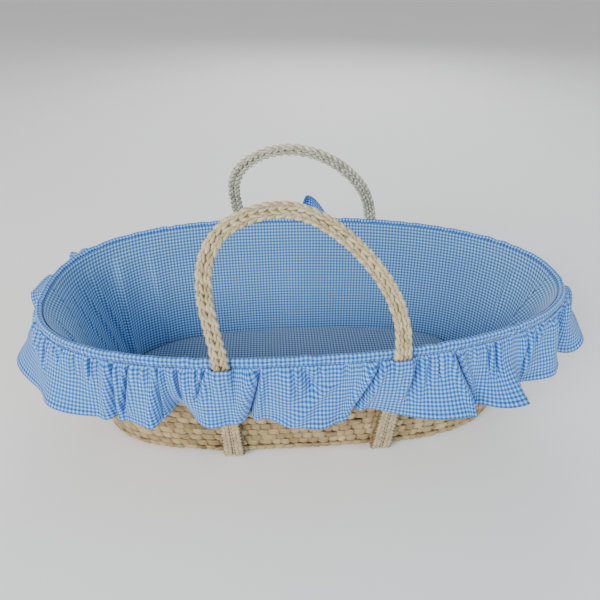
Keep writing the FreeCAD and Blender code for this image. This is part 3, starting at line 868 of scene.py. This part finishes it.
def gathers():
    """Small puckers from the sewn seam, left between the named folds, each with its own shape."""
    rng = np.random.default_rng(77)
    named = np.array([crease[0] for crease in CREASES])
    small = []
    direction = -180.0
    while direction < 180.0:
        direction += rng.uniform(1.2, 3.4)
        if np.min(np.abs(named - direction)) < 1.3:
            continue
        reach = 0.08 + 0.45 * rng.random() ** 2.5
        slant = rng.normal(0, 1.1) * reach
        depth, width, over = rng.uniform(1.2, 3.8), rng.uniform(2.2, 4.2), rng.normal(0, 1.0)
        small.append((direction, direction + slant, 0, reach, depth, width, over))
    return small


def fold_angle(deg):
    """Hang angle round the rim, in radians: half a wave from each crest to the next valley."""
    deg = (deg + 190) % 360 - 190
    x, y = np.array(TURNS, float).T
    i = np.clip(np.searchsorted(x, deg) - 1, 0, len(x) - 2)
    t = (deg - x[i]) / (x[i + 1] - x[i])
    value = y[i] + (y[i + 1] - y[i]) * t * t * (3 - 2 * t)
    along = np.clip((deg - EVEN_FROM) / (EVEN_TO - EVEN_FROM), 0, 1)
    waves = EVEN_SWING * (1 - np.cos(2 * math.pi * EVEN_WAVES * along))
    return np.radians(value + waves)


def crease_field(s, ring, v, to_s):
    """Inward push and sideways lap of every crease and gather, on the grid of s and v."""
    push = np.zeros((len(v), len(s)))
    lap = np.zeros_like(push)
    for top, bottom, begin, end, depth, width, over in CREASES + gathers():
        line = np.interp(v, [begin, end], [to_s(top), to_s(bottom)])
        rise = np.clip((v - begin + 0.05) / 0.07, 0, 1)
        fade = np.clip((end + 0.14 - v) / 0.24, 0, 1)
        strength = (rise * rise * (3 - 2 * rise) * fade * fade * (3 - 2 * fade))[:, None]
        far = s[None, :] - line[:, None]
        far = (far + 0.5 * ring) % ring - 0.5 * ring
        w = width * 0.001 * (1.0 + 0.5 * v[:, None])
        dent = np.exp(-(far / w) ** 2)
        push += strength * depth * CREASE_DEPTH * (dent - 0.35 * np.exp(-((np.abs(far) - 1.9 * w) / w) ** 2))
        lap += strength * over * 0.001 * np.exp(-((far + 0.8 * w * np.sign(over)) / (1.1 * w)) ** 2)
    return push, lap


def frill_shape(a, rows):
    s = arc_length(rim_points(a, 0.0, 0.0), True)
    ring = s[-1]
    s = s[:-1]
    degrees = np.degrees(a)
    hang = fold_angle(degrees)
    v = np.linspace(0, 1, rows)
    column = v[:, None]
    mean = np.radians(20.0)
    local = mean + (hang - mean) * np.clip(column * 1.25, 0, 1) ** 0.8
    local = local * (0.35 + 0.65 * np.clip(column * 2.2, 0, 1))
    local = local + np.radians(30) * np.exp(-(column / 0.14) ** 2)
    for middle, width in LOBES:
        lobe = np.exp(-((degrees - middle) / width) ** 2)
        local = local + np.radians(LOBE_LIFT) * lobe * np.exp(-(column / 0.20) ** 2)
    longer = sum(extra * np.exp(-((degrees - middle) / width) ** 2) for middle, width, extra in LONGER)
    step = FRILL_LENGTH * (1 + longer) / (rows - 1)

    def hung(lean):
        sideways = np.cumsum(np.vstack([np.zeros_like(s), np.sin(lean[1:]) * step]), 0)
        fall = np.cumsum(np.vstack([np.zeros_like(s), np.cos(lean[1:]) * step]), 0)
        return SEAM_OFFSET + sideways, SEAM_DEPTH + fall

    out, down = hung(local)
    flap = np.interp(degrees, FLAP, [0, 1, 0])
    flap = flap * flap * (3 - 2 * flap)
    flap_out, flap_down = hung(np.radians(FLAP_START + FLAP_CURL * column) + 0 * s)
    out, down = out + flap * (flap_out - out), down + flap * (flap_down - down)

    def to_s(direction):
        return float(np.interp(math.radians(direction), a, s))

    push, lap = crease_field(s, ring, v, to_s)
    soft = (0.0010 * np.exp(-((column - 0.30) / 0.26) ** 2) * wobble(s, ring, 72, 12, 30, 66)
            + 0.0016 * np.sin(math.pi * column) * wobble(s, ring, 73, 9, 12, 34))
    swell = np.zeros_like(s)
    for side, legs in ((-1, FRONT_LEGS), (1, BACK_LEGS)):
        for x in legs:
            here = to_s(math.degrees(angle_at_x(x, 1.0, side)))
            swell += np.exp(-(np.abs(s - here) / 0.0138) ** 10)
    swell = np.clip(swell, 0, 1)
    near_seam = np.exp(-(column / 0.30) ** 2)
    settle = np.clip(column / 0.06, 0.0, 1) ** 1.3
    out = out - push * settle * (1 - 0.85 * swell * near_seam) + soft * np.clip(column / 0.1, 0, 1)
    out = out + 0.0112 * swell * np.exp(-(column / 0.45) ** 2)
    down = down - 0.0058 * swell * np.exp(-(column / 0.5) ** 2)
    out = np.maximum(out, 0.0046 + 0.010 * swell * near_seam - 0.19 * (down - SEAM_DEPTH))
    moved = np.broadcast_to(s, out.shape) + lap * settle
    a_long = np.concatenate([a - 2 * math.pi, a, a + 2 * math.pi])
    s_long = np.concatenate([s - ring, s, s + ring])
    return rim_points(np.interp(moved, s_long, a_long), out, down)


def frill():
    rows, cols = 34, 2000
    a = even_angles(cols)
    points = frill_shape(a, rows)
    hem = arc_length(points[-1], True)
    mid = arc_length(points[rows // 2], True)
    u = hem + 0.5 * (mid - hem * mid[-1] / hem[-1])
    v = np.linspace(0, FRILL_LENGTH, rows)
    uv = np.stack([np.broadcast_to(u, (rows, cols + 1)), np.broadcast_to(v[:, None], (rows, cols + 1))], -1)
    body_rows = rows - 3
    obj = mesh_object("frill_cloth", [grid(points[:body_rows + 1], uv[:body_rows + 1], wrap_cols=True)])
    solidify(obj, 0.0008)
    place(obj, "root", TRIM, "gingham_trim", "ruffle")
    hem_obj = mesh_object("frill_hem", [grid(points[body_rows - 1:], uv[body_rows - 1:], wrap_cols=True)])
    solidify(hem_obj, 0.0019)
    place(hem_obj, "root", TRIM, "gingham_trim", "ruffle_hem")


def liner_floor():
    """The liner's bottom panel: flat on the woven base, turned up where it is sewn to the side panel."""
    low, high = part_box("liner_floor")
    middle = 0.5 * (low.z + high.z)
    along, across = 160, 60
    x = BASE_SHIFT + (0.5 * (high.x - low.x) - 0.002) * np.sin(np.linspace(-1, 1, along) * 1.56)
    share = np.clip(np.abs((x - BASE_SHIFT) / (0.5 * (high.x - low.x))), 0, 1)
    half = (0.5 * (high.y - low.y) - 0.0015) * (1 - share ** BASE_POWER) ** (1 / BASE_POWER)
    t = np.linspace(-1, 1, across)[:, None]
    gx, gy = x[None, :] + 0 * t, t * half[None, :]
    radius = (share[None, :] ** BASE_POWER + (np.abs(gy) / (0.5 * (high.y - low.y))) ** BASE_POWER) ** 0.32
    ripple = 0.0004 * np.sin(23 * gx + 2.0) * np.sin(41 * gy) + 0.0002 * np.sin(90 * gx - 60 * gy)
    gz = middle + ripple + 0.0012 * np.clip((radius - 0.96) / 0.04, 0, 1)
    points = np.stack([gx, gy, gz], -1)
    obj = mesh_object("liner_bottom", [grid(points, points[..., :2].copy())])
    solidify(obj, 0.0008)
    place(obj, "root", LINER, "gingham_liner", "liner_floor")


# ================= mattress =================
MATTRESS_HALF_LENGTH = 0.334
MATTRESS_HALF_WIDTH = 0.132
MATTRESS_POWER = 2.9


def mattress():
    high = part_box("mattress_sheet")[1]
    core_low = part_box("mattress_core")[0]
    cols = 360
    a = np.linspace(-math.pi, math.pi, cols, endpoint=False)

    def ring(inset, z):
        r = unit_radius(a, MATTRESS_POWER)
        x = BASE_SHIFT + (MATTRESS_HALF_LENGTH - inset) * r * np.cos(a)
        y = (MATTRESS_HALF_WIDTH - inset * 0.98) * r * np.sin(a)
        return np.stack([x, y, z + 0 * x], -1)

    top, bottom = high.z, core_low.z
    crown = 0.0030
    profile = [(0.040, bottom + 0.0002), (0.020, bottom - 0.0001), (0.008, bottom - 0.0001),
               (0.003, bottom + 0.0010), (0.0008, bottom + 0.004), (0.0, bottom + 0.010),
               (0.0008, top - 0.008), (0.0030, top - 0.0040), (0.0070, top - 0.0014),
               (0.012, top), (0.018, top + 0.0008), (0.026, top + 0.0014)]
    for k in range(1, 10):
        share = k / 10.0
        inset = 0.026 + (MATTRESS_HALF_WIDTH - 0.028) * share
        profile.append((inset, top + 0.0014 + (crown - 0.0014) * share))
    rows = np.stack([ring(i, z) for i, z in profile])
    x, y = rows[..., 0], rows[..., 1]
    lumps = 0.0008 * np.sin(31 * x + 1.3) * np.sin(47 * y + 0.4) + 0.0005 * np.sin(73 * x + 22 * y)
    rows[9:, :, 2] += lumps[9:]
    edge = ring(0.0, 0.0)
    walk = arc_length(edge, True)[:-1]
    uneven = wobble(walk, walk[-1], 90, 9, 8, 30)[None, :, None]
    rows[3:9] += (rows[3:9] - rows[3:9].mean(1, keepdims=True)) * 0.004 * uneven
    outward = unit(np.stack([np.gradient(edge[:, 1]), -np.gradient(edge[:, 0])], -1))
    length = arc_length(np.array(profile))
    uv = np.zeros(rows.shape[:2] + (2,))
    uv[9:] = rows[9:, :, :2]
    for r in range(8, -1, -1):
        uv[r] = uv[9] + outward * (length[9] - length[r])
    uv = np.concatenate([uv, uv[:, :1]], 1)
    obj = mesh_object("mattress_cloth", [grid(rows, uv, wrap_cols=True)])
    cap_top(obj, (len(profile) - 1) * cols, cols)
    solidify(obj, 0.0007, -1.0)
    place(obj, "mattress", SHEET_PAINTED_SHADE, "gingham_liner", "mattress_sheet")
    inner = np.stack([ring(i + 0.0030, np.clip(z, bottom + 0.0012, top - 0.0022)) for i, z in profile[1:]])
    pad_uv = np.stack([inner[..., 0], inner[..., 1]], -1)
    pad_uv = np.concatenate([pad_uv, pad_uv[:, :1]], 1)
    pad = mesh_object("mattress_pad", [grid(inner, pad_uv, wrap_cols=True, caps=True)])
    place(pad, "mattress", FOAM, "foam", "mattress_core")


def cap_top(obj, first, cols):
    """Closes the sheet's last ring with a strip of quads and keeps the check pattern flat on it."""
    bm = bmesh.new()
    bm.from_mesh(obj.data)
    bm.verts.ensure_lookup_table()
    layer = bm.loops.layers.uv["UVMap"]
    verts = [bm.verts[first + i] for i in range(cols)]
    half = cols // 2
    for i in range(half):
        left, right = (i, (i + 1) % cols), ((cols - i - 1) % cols, (cols - i) % cols)
        corners = [verts[left[0]], verts[left[1]], verts[right[0]], verts[right[1]]]
        if len(set(corners)) < 3:
            continue
        unique = []
        for c in corners:
            if c not in unique:
                unique.append(c)
        face = bm.faces.new(unique)
        face.smooth = True
        for loop in face.loops:
            loop[layer].uv = (loop.vert.co.x, loop.vert.co.y)
    bmesh.ops.recalc_face_normals(bm, faces=bm.faces)
    bm.to_mesh(obj.data)
    bm.free()


# ================= CAD pieces that stay, with their own materials =================
def keep_cad(node, material):
    mesh = record_nodes[node].data
    mesh.materials.clear()
    mesh.materials.append(material)


for node, material in (("side_stakes", SPLINT), ("strap_ties", CORD), ("rim_elastic", ELASTIC)):
    keep_cad(node, material)

woven_wall()
woven_base()
handle("handle_front", FRONT_ARCH, FRONT_LEGS, FRONT_LEAN, -1, ROPE, 501)
handle("handle_back", BACK_ARCH, BACK_LEGS, BACK_LEAN, 1, ROPE_BACK_PAINTED_LIGHT, 601)
strap("left", 0, 701)
strap("right", 1, 801)
liner()
liner_floor()
border()
band()
frill()
mattress()


# ================= floor, light and camera =================
WORLD_STRENGTH = 0.55
LIT_POINT = Vector((0, 0, 0.15))
# Area lights: (name, place, size, watts, colour).
LIGHTS = [("key", (-1.9, -2.4, 2.0), 1.5, 125.0, (1.0, 0.98, 0.95)),
          ("fill", (2.2, -1.6, 1.5), 1.6, 30.0, (0.58, 0.84, 1.0)),
          ("back", (0.5, 2.7, 2.1), 1.8, 45.0, (1.0, 1.0, 1.0))]


def stage():
    bpy.ops.mesh.primitive_plane_add(size=14.0)
    floor = bpy.context.object
    floor.name = "floor"
    floor.data.materials.append(floor_material())
    world = bpy.data.worlds.new("studio")
    bpy.context.scene.world = world
    world.use_nodes = True
    background = world.node_tree.nodes["Background"]
    background.inputs[0].default_value = (1.0, 1.0, 1.0, 1.0)
    background.inputs[1].default_value = WORLD_STRENGTH
    for name, place_at, size, energy, colour in LIGHTS:
        data = bpy.data.lights.new(name, "AREA")
        data.size = size
        data.energy = energy
        data.color = colour
        light = bpy.data.objects.new(name, data)
        light.location = place_at
        light.rotation_mode = "QUATERNION"
        light.rotation_quaternion = (LIT_POINT - Vector(place_at)).to_track_quat("-Z", "Y")
        bpy.context.scene.collection.objects.link(light)


SENSOR_WIDTH = 36.0
# Focal length as a share of the picture's width.
FOCAL_SHARE = 484.0 / 600.0


def camera():
    azimuth, elevation, distance, roll = -0.0628, 0.648, 0.9753, 0.0041
    target = Vector((-0.0064, 0.1047, 0.15))
    back = Vector((math.sin(azimuth) * math.cos(elevation), -math.cos(azimuth) * math.cos(elevation),
                   math.sin(elevation)))
    data = bpy.data.cameras.new("camera")
    data.sensor_width = SENSOR_WIDTH
    data.lens = SENSOR_WIDTH * FOCAL_SHARE
    data.clip_start = 0.02
    obj = bpy.data.objects.new("camera", data)
    obj.location = target + back * distance
    obj.rotation_euler = (-back).to_track_quat("-Z", "Y").to_euler("XYZ")
    obj.rotation_euler.rotate_axis("Z", roll)
    bpy.context.scene.collection.objects.link(obj)
    bpy.context.scene.camera = obj


stage()
camera()
